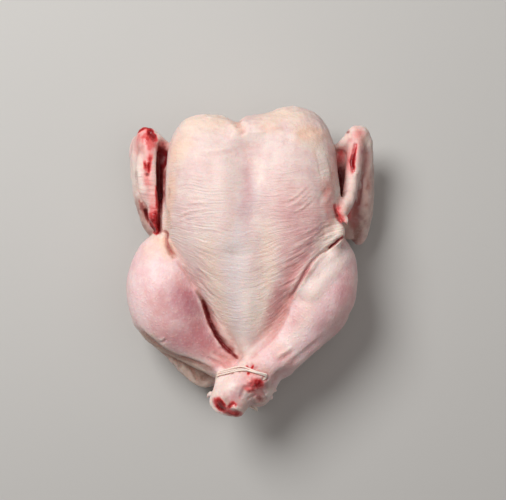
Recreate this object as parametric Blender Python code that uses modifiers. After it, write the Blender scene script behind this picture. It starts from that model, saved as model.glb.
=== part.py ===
"""A whole raw chicken lying on its back, its wings folded and its crossed legs tied.

The bird is one solid. It is built up as a sculptor would: each muscle is a sphere
drawn out along a smooth line through a few named stations, the muscles of the trunk
are fused and smoothed first, then the legs and wings are fused on, and last the back
is pressed flat where it lies. The elastic tie is a second solid, laid taut round the
two shanks.

Frame: +Z up, the breast on top, +Y towards the neck, the tail towards -Y. The origin
is under the middle of the bird, on the surface that it lies on. Lengths are in metres.
"""

import math

import bmesh
import bpy
from mathutils import Vector

MM = 0.001

# Driving dimensions: the bird's own reach from neck to hocks, side to side, and up.
BIRD_LENGTH = 247 * MM
BIRD_WIDTH = 200 * MM
BREAST_HEIGHT = 98 * MM

# How finely the trunk and then the whole bird are fused, and how far each is smoothed.
TRUNK_VOXEL = 2.6 * MM
TRUNK_SMOOTHING = 22
LEG_VOXEL = 2.0 * MM
LEG_SMOOTHING = 14
BIRD_VOXEL = 1.5 * MM
BIRD_SMOOTHING = 4
BIRD_TRIANGLES = 8300

# The sphere that every muscle starts from.
MUSCLE_SEGMENTS = 48
MUSCLE_RINGS = 56

# The elastic tie: two turns of round cord, laid in one leaning plane about a point
# inside the crossed shanks, round whatever lies within reach of it. The outer turn is
# lifted over the inner one for as far on each side of their crossing as they would
# touch.
TIE_DIAMETER = 1.9 * MM
TIE_GAP = 0.6 * MM
TIE_TURNS = 2
TIE_SPREAD = 1.7 * MM
TIE_LIFT = 2.7 * MM
TIE_POINTS = 92
TIE_CENTRE = (-7 * MM, -102 * MM, 58 * MM)
TIE_LEAN = math.radians(28)
TIE_REACH_ACROSS = 36 * MM
TIE_REACH_DOWN = 31 * MM
TIE_REACH_UP = 38 * MM
TIE_CROSSING = math.radians(40)
TIE_LIFTED = math.radians(115)

# How far, and how far along the shanks, the tie draws their flesh in.
PINCH = 0.16
PINCH_REACH = 11 * MM
PINCH_RADIUS = 35 * MM

# A point, in millimetres, on the plane that the upper hock is cut through at.
HOCK_CUT = (-23, -124, 70)
HOCK_REACH = 30 * MM

LEFT, RIGHT = -1, 1


def clear_scene():
    for old in list(bpy.data.objects):
        bpy.data.objects.remove(old, do_unlink=True)


def new_collection(name):
    made = bpy.data.collections.new(name)
    bpy.context.scene.collection.children.link(made)
    return made


def principled(name, colour, roughness):
    made = bpy.data.materials.new(name)
    made.use_nodes = True
    shader = made.node_tree.nodes["Principled BSDF"]
    shader.inputs["Base Color"].default_value = (*colour, 1.0)
    shader.inputs["Roughness"].default_value = roughness
    shader.inputs["Metallic"].default_value = 0.0
    made.diffuse_color = (*colour, 1.0)
    return made


def between(stations, share):
    """The stations' numbers at share 0 to 1 of the way, on a Catmull-Rom spline."""
    spans = len(stations) - 1
    place = min(max(share, 0.0), 1.0) * spans
    first = min(int(place), spans - 1)
    t = place - first
    before = stations[max(first - 1, 0)]
    start, end = stations[first], stations[first + 1]
    after = stations[min(first + 2, spans)]
    return [
        0.5
        * (
            2 * b
            + (c - a) * t
            + (2 * a - 5 * b + 4 * c - d) * t * t
            + (3 * b - a - 3 * c + d) * t * t * t
        )
        for a, b, c, d in zip(before, start, end, after)
    ]


def muscle(name, stations, blunt=2.4, side=RIGHT):
    """A closed form drawn out along the stations.

    A station is (x, y, z, half width, half height, roll in degrees), in millimetres.
    Blunt says how full the two ends are: 2 is an ellipsoid, more is squarer. The left
    side is the mirror of the right one.
    """
    mesh = bpy.data.meshes.new(name)
    form = bmesh.new()
    bmesh.ops.create_uvsphere(
        form, u_segments=MUSCLE_SEGMENTS, v_segments=MUSCLE_RINGS, radius=1.0
    )
    step = 0.01
    for vertex in form.verts:
        height = max(-1.0, min(1.0, vertex.co.z))
        turn = math.atan2(vertex.co.y, vertex.co.x)
        share = (height + 1) / 2
        x, y, z, width, depth, roll = between(stations, share)
        ahead = Vector(between(stations, share + step)[:3])
        behind = Vector(between(stations, share - step)[:3])
        along = (ahead - behind).normalized()
        across = along.cross(Vector((0, 0, 1))).normalized()
        upward = across.cross(along)
        fullness = max(0.0, 1 - abs(height) ** blunt) ** (1 / 2)
        tilt = math.radians(roll)
        out = math.cos(turn) * width * fullness
        rise = math.sin(turn) * depth * fullness
        place = (
            Vector((x, y, z))
            + across * (out * math.cos(tilt) - rise * math.sin(tilt))
            + upward * (out * math.sin(tilt) + rise * math.cos(tilt))
        )
        vertex.co = Vector((place.x * side, place.y, place.z)) * MM
    bmesh.ops.remove_doubles(form, verts=form.verts, dist=0.01 * MM)
    bmesh.ops.recalc_face_normals(form, faces=form.faces)
    form.to_mesh(mesh)
    form.free()
    made = bpy.data.objects.new(name, mesh)
    bpy.context.scene.collection.objects.link(made)
    return made


def fused(name, forms, voxel, smoothing):
    """One closed mesh round all the forms: their union, with its creases eased."""
    gathered = bmesh.new()
    for form in forms:
        gathered.from_mesh(form.data)
    mesh = bpy.data.meshes.new(name)
    gathered.to_mesh(mesh)
    gathered.free()
    for form in forms:
        bpy.data.objects.remove(form, do_unlink=True)
    made = bpy.data.objects.new(name, mesh)
    bpy.context.scene.collection.objects.link(made)
    remesh = made.modifiers.new("fuse", "REMESH")
    remesh.mode = "VOXEL"
    remesh.voxel_size = voxel
    ease = made.modifiers.new("ease", "SMOOTH")
    ease.factor = 0.5
    ease.iterations = smoothing
    return applied(made)


def applied(obj):
    """The object with its modifiers turned into plain mesh."""
    graph = bpy.context.evaluated_depsgraph_get()
    mesh = bpy.data.meshes.new_from_object(obj.evaluated_get(graph))
    obj.modifiers.clear()
    obj.data = mesh
    return obj


def breast():
    """The two breast muscles, fuller towards the neck, with the keel between them."""
    right = [
        (30, 122, 48, 24, 20, 0),
        (32, 102, 55, 36, 32, 0),
        (31, 64, 60, 40, 37, 0),
        (30, 24, 61, 42, 36, 0),
        (18, -16, 61, 27, 28, 0),
        (9, -50, 60, 15, 20, 0),
        (2, -82, 55, 9, 14, 0),
    ]
    left = [
        (33, 115, 47, 23, 20, 0),
        (34, 98, 54, 33, 31, 0),
        (31, 64, 60, 37, 37, 0),
        (28, 24, 61, 37, 36, 0),
        (17, -16, 61, 26, 28, 0),
        (8, -50, 60, 14, 20, 0),
        (0, -82, 55, 9, 14, 0),
    ]
    keel = [
        (0, 107, 56, 38, 31, 0),
        (-1, 66, 63, 33, 29, 0),
        (-2, 14, 68, 24, 26, 0),
        (-3, -40, 67, 15, 19, 0),
        (-2, -84, 58, 9, 14, 0),
    ]
    return [
        muscle("breast_right", right, blunt=4),
        muscle("breast_left", left, blunt=4, side=LEFT),
        muscle("keel", keel, blunt=3.6),
    ]


def rib_cage():
    """The trunk from the vent to the shoulders, with the back that it lies on."""
    return muscle(
        "ribs",
        [
            (0, -98, 22, 20, 14, 0),
            (0, -72, 30, 40, 27, 0),
            (0, -30, 40, 58, 42, 0),
            (2, 20, 45, 67, 48, 0),
            (1, 70, 46, 65, 48, 0),
            (0, 110, 45, 52, 37, 0),
        ],
        blunt=3.4,
    )


def neck_skin():
    """The skin of the neck, drawn across the front of the breast and tucked under."""
    return muscle(
        "neck_skin",
        [
            (-62, 80, 46, 14, 22, 0),
            (-44, 96, 48, 15, 27, 0),
            (-14, 97, 50, 17, 37, 0),
            (14, 100, 50, 18, 37, 0),
            (42, 101, 49, 15, 27, 0),
            (64, 84, 46, 14, 22, 0),
        ],
        blunt=4,
    )


def tail():
    """The tail stub, and the skin at the side of the vent that hangs below a leg."""
    stub = [
        (-4, -78, 22, 28, 17, 0),
        (-4, -98, 20, 21, 13, 0),
        (-5, -111, 20, 15, 11, 0),
        (-5, -121, 20, 11, 8, 0),
    ]
    flap = [
        (-64, -56, 26, 14, 17, 0),
        (-51, -80, 23, 15, 15, 0),
        (-38, -93, 22, 15, 13, 0),
        (-22, -95, 22, 12, 11, 0),
        (-6, -88, 22, 12, 11, 0),
    ]
    return [muscle("tail", stub), muscle("flap", flap, blunt=4)]


def left_leg():
    """The leg that passes under the other: its thigh, its drumstick and its shank."""
    thigh = [
        (30, -84, 20, 20, 18, 0),
        (50, -68, 25, 27, 24, 0),
        (64, -40, 31, 32, 31, 0),
        (68, -10, 36, 27, 33, 0),
        (64, 16, 40, 16, 26, 0),
    ]
    drumstick = [
        (63, 24, 44, 11, 16, 0),
        (69, 4, 48, 23, 26, 0),
        (69, -22, 53, 31, 31, 0),
        (62, -47, 54, 30, 29, 0),
        (44, -68, 52, 20, 21, 0),
        (25, -85, 50, 14, 14, 0),
        (3, -100, 47, 13, 13, 0),
        (-14, -120, 45, 17, 15, 0),
    ]
    forms = [
        muscle("thigh", thigh, side=LEFT),
        muscle("drumstick", drumstick, blunt=7, side=LEFT),
    ]
    return fused("left_leg", forms, LEG_VOXEL, LEG_SMOOTHING)


def right_leg():
    """The leg on top, and the loose skin that the tie gathers between the shanks."""
    thigh = [
        (24, -76, 22, 20, 18, 0),
        (40, -62, 25, 24, 24, 0),
        (53, -38, 31, 30, 31, 0),
        (61, -10, 36, 23, 33, 0),
        (62, 14, 40, 15, 24, 0),
    ]
    drumstick = [
        (67, 22, 48, 10, 16, 0),
        (66, -2, 52, 21, 26, 0),
        (57, -26, 57, 29, 29, 0),
        (45, -46, 60, 26, 26, 0),
        (32, -66, 64, 21, 19, 0),
        (14, -84, 69, 17, 15, 0),
        (-7, -99, 70, 14, 14, 0),
        (-14, -110, 68, 17, 15, 0),
        (-23, -125, 64, 20, 17, 0),
    ]
    loose_skin = [
        (34, -73, 58, 12, 14, 0),
        (25, -88, 55, 11, 14, 0),
        (13, -103, 52, 9, 14, 0),
        (8, -113, 47, 10, 12, 0),
    ]
    forms = [
        muscle("thigh", thigh),
        muscle("drumstick", drumstick, blunt=10),
        muscle("loose_skin", loose_skin, blunt=4),
    ]
    return fused("right_leg", forms, LEG_VOXEL, LEG_SMOOTHING)


def wings():
    """Upper arm, forearm and hand of each wing, folded flat in a Z beside the breast."""
    upper_arm = [
        (54, 84, 44, 14, 20, 0),
        (68, 54, 32, 14, 20, 0),
        (79, 24, 24, 10, 15, 0),
    ]
    web = [
        (54, 60, 41, 14, 6, 0),
        (70, 73, 41, 13, 5, 0),
        (84, 92, 43, 10, 5, 0),
    ]
    forearm_left = [
        (75, 14, 26, 6, 11, 0),
        (83, 32, 27, 8, 14, 0),
        (88, 58, 31, 9, 15, 0),
        (90, 82, 36, 9, 14, 0),
        (88, 102, 42, 12, 12, 0),
    ]
    hand_left = [
        (83, 107, 48, 13, 10, 0),
        (82, 92, 54, 9, 9, 0),
        (79, 68, 56, 6.5, 8, 0),
        (77, 48, 56, 6, 7, 0),
        (75, 32, 54, 6, 6, 0),
        (73, 19, 51, 4, 4, 0),
    ]
    forearm_right = [
        (89, 10, 23, 8, 12, 0),
        (91, 34, 26, 10, 15, 0),
        (91, 58, 31, 11, 16, 0),
        (91, 82, 36, 10, 14, 0),
        (89, 102, 42, 10, 12, 0),
    ]
    hand_right = [
        (85, 107, 48, 11, 10, 0),
        (84, 92, 54, 8, 9, 0),
        (83, 70, 56, 6, 7, 0),
        (81, 54, 56, 5.5, 6.5, 0),
        (76, 40, 54, 6, 6, 0),
        (73, 31, 51, 4, 4, 0),
    ]
    made = []
    for side, forearm, hand in (
        (LEFT, forearm_left, hand_left),
        (RIGHT, forearm_right, hand_right),
    ):
        made.append(muscle("upper_arm", upper_arm, side=side))
        made.append(muscle("web", web, blunt=4, side=side))
        made.append(muscle("forearm", forearm, blunt=4, side=side))
        made.append(muscle("hand", hand, blunt=5, side=side))
    return made


def pressed(mesh, line, radius, push):
    """Presses a rounded furrow into the mesh along the line; all in millimetres."""
    ends = [Vector(point) * MM for point in line]
    reach = radius * MM
    move = Vector(push) * MM
    for vertex in mesh.vertices:
        nearest = reach
        for start, end in zip(ends, ends[1:]):
            along = end - start
            share = (vertex.co - start).dot(along) / along.length_squared
            foot = start + along * min(1.0, max(0.0, share))
            nearest = min(nearest, (vertex.co - foot).length)
        vertex.co += move * (1 - (nearest / reach) ** 2) ** 2


def pinched(mesh):
    """Draws the shanks in where the tie goes round them."""
    centre, sideways, upward, outward = tie_plane()
    for vertex in mesh.vertices:
        offset = vertex.co - centre
        away = abs(offset.dot(outward)) / PINCH_REACH
        apart = offset.length / PINCH_RADIUS
        if away < 1 and apart < 1:
            share = PINCH * (1 - away**2) ** 2 * (1 - apart**8)
            vertex.co -= sideways * (offset.dot(sideways) * share)
            vertex.co -= upward * (offset.dot(upward) * share)


def cut_across(mesh, place, facing):
    """Flattens what stands past a plane, as a knife would."""
    origin, direction = Vector(place) * MM, Vector(facing).normalized()
    for vertex in mesh.vertices:
        offset = vertex.co - origin
        beyond = offset.dot(direction)
        if beyond > 0 and offset.length < HOCK_REACH:
            vertex.co -= direction * beyond


def rest_on_back(mesh):
    """Presses whatever reaches below the surface flat onto it."""
    for vertex in mesh.vertices:
        vertex.co.z = max(vertex.co.z, 0.0)


def brought_to_size(mesh):
    """Centres the mesh over the origin and gives it the driving dimensions exactly."""
    low = [min(vertex.co[axis] for vertex in mesh.vertices) for axis in range(3)]
    high = [max(vertex.co[axis] for vertex in mesh.vertices) for axis in range(3)]
    sizes = (BIRD_WIDTH, BIRD_LENGTH, BREAST_HEIGHT)
    for vertex in mesh.vertices:
        for axis, size in enumerate(sizes):
            share = (vertex.co[axis] - low[axis]) / (high[axis] - low[axis])
            vertex.co[axis] = size * (share - (0.5 if axis < 2 else 0.0))


def build_bird():
    trunk_forms = [*breast(), rib_cage(), neck_skin(), *tail()]
    trunk = fused("trunk", trunk_forms, TRUNK_VOXEL, TRUNK_SMOOTHING)
    limbs = [left_leg(), right_leg(), *wings()]
    bird = fused("chicken", [trunk, *limbs], BIRD_VOXEL, BIRD_SMOOTHING)
    # The dark gap between the breast and the left drumstick.
    pressed(bird.data, [(-34, -30, 66), (-22, -58, 64), (-12, -76, 62)], 9, (0, 1, -9))
    pinched(bird.data)
    # The tie bites deeper into the right shank's outer side.
    pressed(bird.data, [(28, -94, 76), (25, -98, 64), (22, -104, 52)], 11, (-9, 1, -1))
    # The hock, cut through at the joint, with the hollows in its two knuckles.
    cut_across(bird.data, HOCK_CUT, (-0.55, -0.6, 0.58))
    pressed(bird.data, [(-28, -119, 71), (-26, -121, 71)], 6, (2, 2, -2.5))
    pressed(bird.data, [(-17, -127, 71), (-15, -129, 70)], 6, (2, 2, -2.5))
    rest_on_back(bird.data)
    thinned = bird.modifiers.new("thinned", "DECIMATE")
    thinned.ratio = BIRD_TRIANGLES / (2 * len(bird.data.polygons))
    applied(bird)
    brought_to_size(bird.data)
    return bird


def tie_plane():
    """The tie's centre, its two directions in its plane, and the one out of it."""
    sideways = Vector((1, 0, 0))
    upward = Vector((0, math.sin(TIE_LEAN), math.cos(TIE_LEAN)))
    return Vector(TIE_CENTRE), sideways, upward, sideways.cross(upward)


def cut_outline(bird):
    """The points where planes beside the tie's cut the shanks, as (across, up)."""
    centre, sideways, upward, outward = tie_plane()
    points = []
    reach = TIE_SPREAD + TIE_DIAMETER
    for share in (-1, -0.5, 0, 0.5, 1):
        cut = bmesh.new()
        cut.from_mesh(bird.data)
        made = bmesh.ops.bisect_plane(
            cut,
            geom=[*cut.verts, *cut.edges, *cut.faces],
            plane_co=centre + outward * reach * share,
            plane_no=outward,
        )
        for item in made["geom_cut"]:
            if isinstance(item, bmesh.types.BMVert):
                offset = item.co - centre
                across, up = offset.dot(sideways), offset.dot(upward)
                near = -TIE_REACH_DOWN < up < TIE_REACH_UP
                if near and abs(across) < TIE_REACH_ACROSS:
                    points.append((across, up))
        cut.free()
    return points


def taut_loop(points, clearance, count):
    """The points' hull grown by the clearance, as count even steps round it.

    Each step is (across, up, the direction that the loop faces there).
    """
    fine = 720
    loop = []
    for index in range(fine):
        facing = TIE_CROSSING + math.pi + math.tau * index / fine
        across, up = math.cos(facing), math.sin(facing)
        far = max(points, key=lambda point: point[0] * across + point[1] * up)
        loop.append((far[0] + across * clearance, far[1] + up * clearance, facing))
    gaps = [math.dist(a[:2], b[:2]) for a, b in zip(loop, loop[1:] + loop[:1])]
    whole = sum(gaps)
    steps, passed, index = [], 0.0, 0
    for step in range(count):
        while passed + gaps[index] < whole * step / count:
            passed += gaps[index]
            index += 1
        share = (whole * step / count - passed) / gaps[index]
        near, far = loop[index], loop[(index + 1) % fine]
        steps.append(
            (
                near[0] + (far[0] - near[0]) * share,
                near[1] + (far[1] - near[1]) * share,
                near[2],
            )
        )
    return steps


def build_tie(bird):
    """The elastic tie, taut round both shanks."""
    centre, sideways, upward, outward = tie_plane()
    clearance = TIE_DIAMETER / 2 + TIE_GAP
    steps = taut_loop(cut_outline(bird), clearance, TIE_POINTS // TIE_TURNS)
    curve = bpy.data.curves.new("leg_tie", "CURVE")
    curve.dimensions = "3D"
    curve.bevel_depth = TIE_DIAMETER / 2
    curve.bevel_resolution = 2
    line = curve.splines.new("POLY")
    line.points.add(TIE_POINTS - 1)
    line.use_cyclic_u = True
    crossing = math.pi * (TIE_TURNS + 1)
    for index, point in enumerate(line.points):
        across, up, facing = steps[index % len(steps)]
        turn = math.tau * TIE_TURNS * index / TIE_POINTS
        from_crossing = min(1.0, abs(turn - crossing) / TIE_LIFTED)
        lift = TIE_LIFT * math.cos(from_crossing * math.pi / 2)
        place = (
            centre
            + sideways * (across + math.cos(facing) * lift)
            + upward * (up + math.sin(facing) * lift)
            + outward * TIE_SPREAD * math.cos(turn / TIE_TURNS)
        )
        point.co = (*place, 1.0)
    return bpy.data.objects.new("leg_tie", curve)


def main():
    clear_scene()
    collection = new_collection("raw_chicken")
    bird = build_bird()
    bird.data.materials.append(principled("skin", (0.86, 0.66, 0.58), 0.45))
    bpy.context.scene.collection.objects.unlink(bird)
    tie = build_tie(bird)
    tie.data.materials.append(principled("elastic", (0.86, 0.74, 0.62), 0.55))
    for made in (bird, tie):
        collection.objects.link(made)


main()
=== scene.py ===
import math

import bpy
import numpy as np
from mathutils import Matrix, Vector, noise


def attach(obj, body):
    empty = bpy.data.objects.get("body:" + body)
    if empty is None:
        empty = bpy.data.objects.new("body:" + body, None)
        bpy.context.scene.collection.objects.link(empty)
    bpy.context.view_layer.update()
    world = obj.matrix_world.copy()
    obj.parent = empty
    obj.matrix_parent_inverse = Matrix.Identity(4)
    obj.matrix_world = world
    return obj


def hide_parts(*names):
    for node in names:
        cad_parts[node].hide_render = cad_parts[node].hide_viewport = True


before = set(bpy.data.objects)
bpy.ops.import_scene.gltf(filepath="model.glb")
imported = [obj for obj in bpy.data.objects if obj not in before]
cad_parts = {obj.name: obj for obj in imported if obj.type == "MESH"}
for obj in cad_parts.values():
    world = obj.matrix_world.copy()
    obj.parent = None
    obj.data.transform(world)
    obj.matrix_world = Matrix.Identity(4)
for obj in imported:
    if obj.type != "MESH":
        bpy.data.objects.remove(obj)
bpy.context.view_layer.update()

mm = 0.001
noise.seed_set(4)  # noise_vector repeats from run to run only when it is seeded


# working habits

def pickOnly(piece):
    bpy.ops.object.select_all(action="DESELECT")
    piece.select_set(True)
    bpy.context.view_layer.objects.active = piece


def finishWith(piece, kind, **settings):
    pickOnly(piece)
    bpy.ops.object.modifier_add(type=kind)
    modifier = piece.modifiers[-1]
    for name, value in settings.items():
        setattr(modifier, name, value)
    bpy.ops.object.modifier_apply(modifier=modifier.name)


def joined(pieces):
    pickOnly(pieces[0])
    for piece in pieces[1:]:
        piece.select_set(True)
    bpy.ops.object.join()
    return pieces[0]


def mergeDoubles(piece, turnOut=False):
    pickOnly(piece)
    bpy.ops.object.mode_set(mode="EDIT")
    bpy.ops.mesh.select_all(action="SELECT")
    bpy.ops.mesh.remove_doubles(threshold=0.01 * mm)
    if turnOut:
        bpy.ops.mesh.normals_make_consistent(inside=False)
    bpy.ops.object.mode_set(mode="OBJECT")


def tubeAlong(line, radii, closed=False):
    # a round tube through the points, all in millimetres
    bpy.ops.object.select_all(action="DESELECT")
    bpy.ops.curve.primitive_nurbs_path_add(location=(0, 0, 0))
    tube = bpy.context.object
    tube.data.splines.clear()
    spline = tube.data.splines.new("POLY")
    spline.points.add(len(line) - 1)
    spline.use_cyclic_u = closed
    for point, place, radius in zip(spline.points, line, radii):
        point.co = (*(place * mm), 1.0)
        point.radius = radius
    tube.data.bevel_depth = mm
    tube.data.bevel_resolution = 3
    tube.data.use_fill_caps = not closed
    bpy.ops.object.convert(target="MESH")
    return tube


def settle(piece, name, material):
    # a finished piece: smooth, named, at the origin, riding on the one body
    pickOnly(piece)
    bpy.ops.object.transform_apply(location=True, rotation=True, scale=True)
    bpy.ops.object.shade_smooth()
    piece.name = name
    piece.data.name = name
    piece.data.materials.clear()
    piece.data.materials.append(material)
    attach(piece, "root")


def screenTone(red, green, blue):
    # a colour as a screen shows it, 0 to 255, as the linear value that shaders use
    shares = [value / 255 for value in (red, green, blue)]
    linear = [s / 12.92 if s < 0.04045 else ((s + 0.055) / 1.055) ** 2.4 for s in shares]
    return (*linear, 1.0)


# shader maths written as expressions

class Wire:
    # a socket that adds Math nodes when it is used in an expression
    def __init__(self, sheet, socket):
        self.sheet = sheet
        self.socket = socket

    def __add__(self, other):
        return self.sheet.maths("ADD", self, other)

    def __sub__(self, other):
        return self.sheet.maths("SUBTRACT", self, other)

    def __rsub__(self, other):
        return self.sheet.maths("SUBTRACT", other, self)

    def __mul__(self, other):
        return self.sheet.maths("MULTIPLY", self, other)

    __radd__ = __add__
    __rmul__ = __mul__


class Sheet:
    # the node sheet of one material
    def __init__(self, name):
        self.material = bpy.data.materials.new(name)
        self.material.use_nodes = True
        self.tree = self.material.node_tree
        self.tree.nodes.clear()

    def add(self, kind, settings, sockets, output=0):
        node = self.tree.nodes.new(kind)
        for name, value in settings.items():
            setattr(node, name, value)
        for name, value in sockets.items():
            self.feed(node.inputs[name], value)
        return Wire(self, node.outputs[output])

    def feed(self, socket, value):
        if isinstance(value, Wire):
            self.tree.links.new(value.socket, socket)
        else:
            socket.default_value = value

    def maths(self, operation, first, second, clamp=False):
        settings = {"operation": operation, "use_clamp": clamp}
        return self.add("ShaderNodeMath", settings, {0: first, 1: second})

    def band(self, value, start, full):
        # 0 at start, 1 at full, eased between them
        sockets = {"Value": value, "From Min": start, "From Max": full}
        return self.add("ShaderNodeMapRange", {"interpolation_type": "SMOOTHSTEP"}, sockets)

    def mask(self, name):
        return self.add("ShaderNodeAttribute", {"attribute_name": name}, {}, "Fac")

    def place(self, stretch=(1, 1, 1)):
        # object coordinates in millimetres, stretched
        ownPlace = self.add("ShaderNodeTexCoord", {}, {}, "Object")
        scale = tuple(share / mm for share in stretch)
        return self.add("ShaderNodeMapping", {}, {"Vector": ownPlace, "Scale": scale})

    def grain(self, place, perMillimetre, detail=2.0, roughness=0.5, twist=0.0):
        sockets = {"Vector": place, "Scale": perMillimetre, "Detail": detail}
        sockets |= {"Roughness": roughness, "Distortion": twist}
        return self.add("ShaderNodeTexNoise", {}, sockets)

    def tinted(self, share, *tones):
        # one tone over another by a share; three numbers are a tone as a screen shows it
        under, over = [tone if isinstance(tone, Wire) else screenTone(*tone) for tone in tones]
        settings = {"data_type": "RGBA", "clamp_factor": True}
        return self.add("ShaderNodeMix", settings, {0: share, 6: under, 7: over}, 2)

    def washed(self, value, under, wash, where=1.0):
        # a tone laid over by the value: its greatest share, and where it starts and is full
        tone, share, start, full = wash
        return self.tinted(self.band(value, start, full) * share * where, under, tone)

    def finish(self, surface, relief, reliefDepth):
        # surface is the sockets of the Principled shader, relief in millimetres
        height = {"Height": relief, "Distance": mm * reliefDepth, "Strength": 1.0}
        surface["Normal"] = self.add("ShaderNodeBump", {}, height, "Normal")
        shader = self.add("ShaderNodeBsdfPrincipled", {}, surface)
        shown = self.tree.nodes.new("ShaderNodeOutputMaterial")
        self.feed(shown.inputs["Surface"], shader)
        return self.material


# camera, light and floor

studio = {
    "lens": 90,
    "sensor": 36,
    "camera": (0.0010, 0.0092, 1.0625),
    "lightAim": (0, 0, 0.05),
    "lights": {
        "key": {"at": (-0.58, 0.66, 1.20), "size": 0.75, "watts": 19.5},
        "fill": {"at": (0.50, 0.10, 1.40), "size": 1.4, "watts": 4},
    },
    "surround": (1.0, 0.91, 0.88, 1.0),
    "surroundStrength": 0.13,
    "floorSize": 6.0,
    "floorDrop": 0.0004,
    "floorTones": ((196, 194, 190), (180, 178, 175)),
    "floorShare": 0.15,  # how much of the second tone
    "floorRoughness": 0.85,
}


def addStudio(look):
    bpy.ops.object.camera_add(location=look["camera"])
    camera = bpy.context.object
    camera.data.lens = look["lens"]
    camera.data.sensor_width = look["sensor"]
    camera.data.clip_start = 0.01
    bpy.context.scene.camera = camera
    for name, lamp in look["lights"].items():
        bpy.ops.object.light_add(type="AREA", location=lamp["at"])
        light = bpy.context.object
        light.name = name
        light.data.shape = "DISK"
        light.data.size = lamp["size"]
        light.data.energy = lamp["watts"]
        aim = Vector(look["lightAim"]) - light.location
        light.rotation_euler = aim.to_track_quat("-Z", "Y").to_euler()
    world = bpy.data.worlds.new("surround")
    bpy.context.scene.world = world
    world.use_nodes = True
    sky = world.node_tree.nodes["Background"]
    sky.inputs["Color"].default_value = look["surround"]
    sky.inputs["Strength"].default_value = look["surroundStrength"]
    bpy.context.scene.view_settings.view_transform = "Standard"


def addFloor(look):
    bpy.ops.object.select_all(action="DESELECT")
    bpy.ops.mesh.primitive_plane_add(size=look["floorSize"], location=(0, 0, -look["floorDrop"]))
    floor = bpy.context.object
    floor.name = "floor"
    sheet = Sheet("paleFloor")
    metres = sheet.place((mm, mm, mm))
    haze = sheet.grain(metres, 3.0, 4.0)
    colour = sheet.tinted(haze * look["floorShare"], *look["floorTones"])
    surface = {"Base Color": colour, "Roughness": look["floorRoughness"]}
    floor.data.materials.append(sheet.finish(surface, haze, 0.05))


# vertex work, all in millimetres

def vertexValues(piece, kind="normal"):
    values = np.empty(len(piece.data.vertices) * 3)
    piece.data.vertices.foreach_get(kind, values)
    return values.reshape(-1, 3)


def pointsOf(piece):
    return vertexValues(piece, "co") / mm


def movePoints(piece, points):
    piece.data.vertices.foreach_set("co", (points * mm).ravel())
    piece.data.update()


def keepMask(piece, name, values):
    attribute = piece.data.attributes.new(name, "FLOAT", "POINT")
    attribute.data.foreach_set("value", np.ascontiguousarray(values, np.float32))


def eased(value, low, high):
    share = np.clip((value - low) / (high - low), 0, 1)
    return share * share * (3 - 2 * share)


def softLine(line, steps=5):
    # the given points joined by a smooth curve
    line = np.array(line, float)
    if len(line) < 3:
        return line
    ends = np.vstack([2 * line[0] - line[1], line, 2 * line[-1] - line[-2]])
    smooth = []
    for a, b, c, d in zip(ends, ends[1:], ends[2:], ends[3:]):
        for t in np.arange(steps) / steps:
            cubic = (2 * b + (c - a) * t + (2 * a - 5 * b + 4 * c - d) * t**2
                     + (3 * b - a - 3 * c + d) * t**3)
            smooth.append(cubic / 2)
    return np.array([*smooth, line[-1]])


def besideLine(points, line, reach):
    # the points within reach, how far off the line they are, below 0 on its right, and how
    # far from its nearer end, as a share of its length
    line = softLine(line)
    flat = points[:, :line.shape[1]]
    near = np.all((flat > line.min(0) - reach) & (flat < line.max(0) + reach), axis=1)
    near = np.flatnonzero(near)
    spot = flat[near]
    if len(line) == 1:
        return near, np.linalg.norm(spot - line[0], axis=1), 0.5
    apart = np.full(len(near), np.inf)
    left = np.zeros(len(near))
    passed = np.zeros(len(near))
    steps = np.linalg.norm(np.diff(line, axis=0), axis=1)
    before = np.concatenate([[0], np.cumsum(steps)])
    for start, end, length, run in zip(line, line[1:], steps, before):
        along = (end - start) / length
        offset = spot - start
        share = np.clip(offset @ along, 0, length)
        away = offset - share[:, None] * along
        gap = np.linalg.norm(away, axis=1)
        closer = gap < apart
        apart = np.where(closer, gap, apart)
        left = np.where(closer, along[0] * away[:, 1] - along[1] * away[:, 0], left)
        passed = np.where(closer, (run + share) / before[-1], passed)
    return near, np.copysign(apart, left), np.minimum(passed, 1 - passed)


def laidOn(points, near, share):
    whole = np.zeros(len(points))
    whole[near] = share
    return whole


def brushed(points, line, radius, taper=0.0):
    # 1 on the line, fading to 0 at radius, and towards its ends if it tapers
    near, off, ends = besideLine(points, line, radius)
    share = np.clip(1 - (off / radius) ** 2, 0, 1) ** 2
    if taper:
        share = share * eased(ends, 0, taper)
    return laidOn(points, near, share)


def dabbed(points, line, radius, softEnd=0.12):
    # as brushed, with a softer edge and soft ends
    near, off, ends = besideLine(points, line, radius)
    share = eased(1 - np.abs(off) / radius, 0, 1) * eased(ends, -softEnd, softEnd)
    return laidOn(points, near, share)


def rolled(points, line, radius, taper=0.3):
    # a fold: high on the left of the line, low on its right
    reach = 2.2 * radius
    near, off, ends = besideLine(points, line, reach)
    share = off / radius * np.exp(0.5 - 0.5 * (off / radius) ** 2)
    share = share * eased(reach - np.abs(off), 0, radius)
    return laidOn(points, near, share * eased(ends, 0, taper))


def ledged(points, line, radius, steep=1.6, taper=0.3):
    # 1 on the line, sloping to 0 at radius on its left and within the steep width on its right
    near, off, ends = besideLine(points, line, radius)
    slope = 1 - np.abs(off) / np.where(off > 0, radius, steep)
    return laidOn(points, near, np.clip(slope, 0, 1) ** 1.6 * eased(ends, 0, taper))


def seenFromAbove(points, clear=5.0, covered=10.0):
    # 1 where nothing of the bird lies over a point, 0 where it is well covered
    cell, margin, across = 2.5, 150, 200
    column = np.floor((points[:, :2] + margin) / cell).astype(int)
    key = column[:, 0] * across + column[:, 1]
    top = np.full(across * across, -1.0)
    np.maximum.at(top, key, points[:, 2])
    return 1 - eased(top[key] - points[:, 2], clear, covered)


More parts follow.
